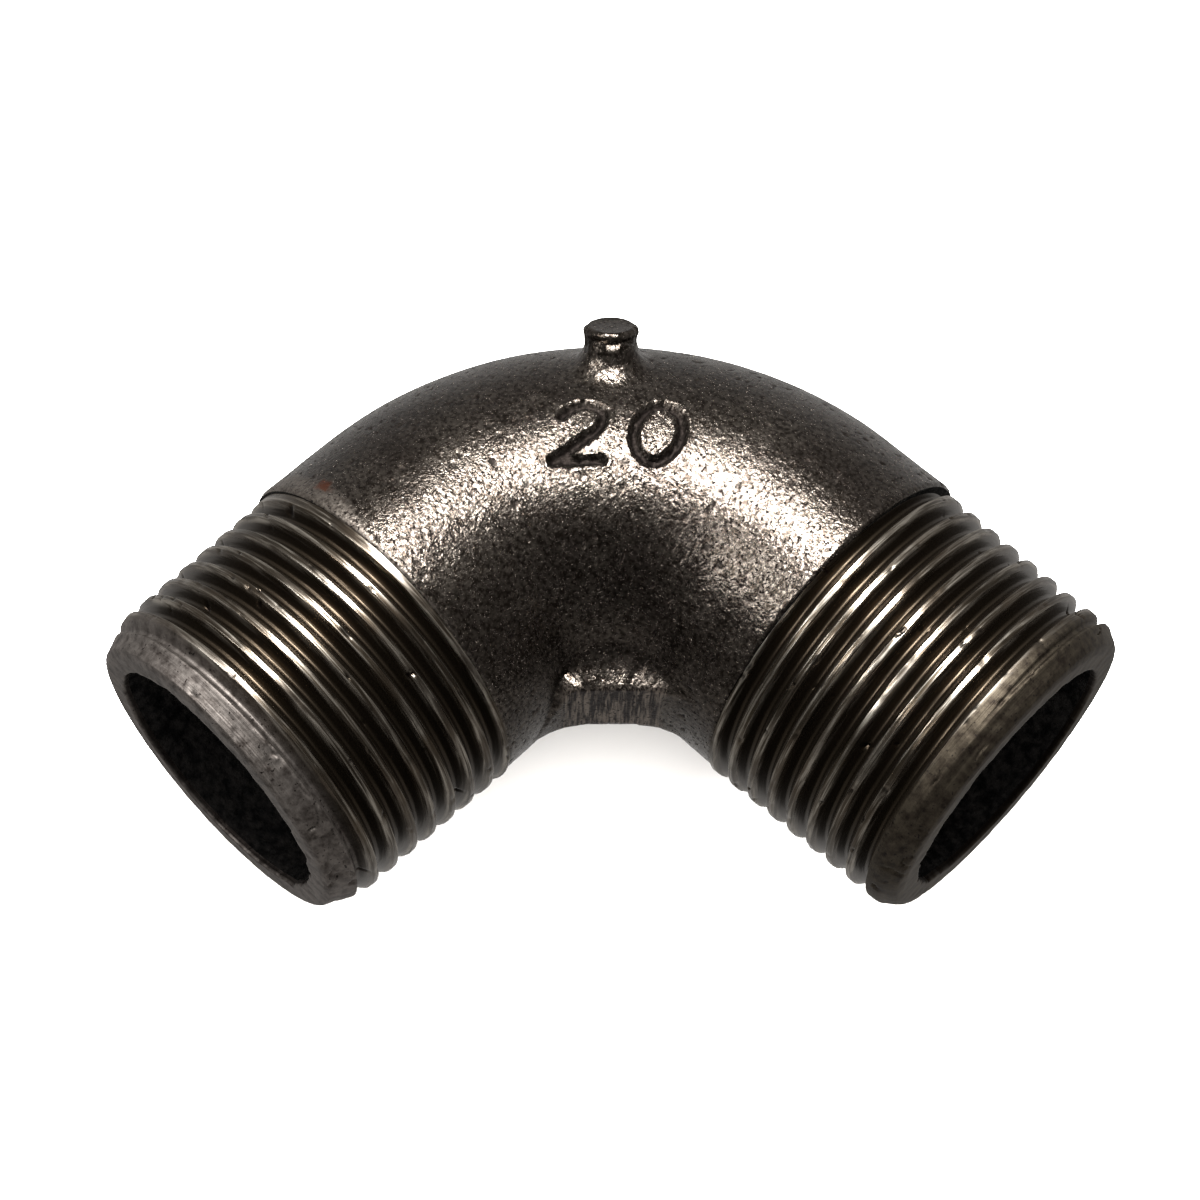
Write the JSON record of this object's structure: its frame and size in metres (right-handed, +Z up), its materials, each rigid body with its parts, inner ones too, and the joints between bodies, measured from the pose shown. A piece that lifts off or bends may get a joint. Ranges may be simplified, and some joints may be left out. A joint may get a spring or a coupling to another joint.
{
  "type": "pipe elbow",
  "caption": "Right-angle pipe elbow with a male taper thread on both ends, cast in malleable iron, with a bore right through.",
  "frame": {"origin": "centre of the bottom of the bounding box, with the elbow lying on its side", "axes": "+Z up and square to the plane of the bend; +X out of port A; -Y out of port B"},
  "size_m": [0.0536, 0.0536, 0.0282],
  "materials": {
    "black_iron": "as-cast black skin on the bend, darkened and lightly oiled cut metal on the threads"
  },
  "bodies": {
    "root": {"elbow_casting": "black_iron"}
  },
  "joints": []
}
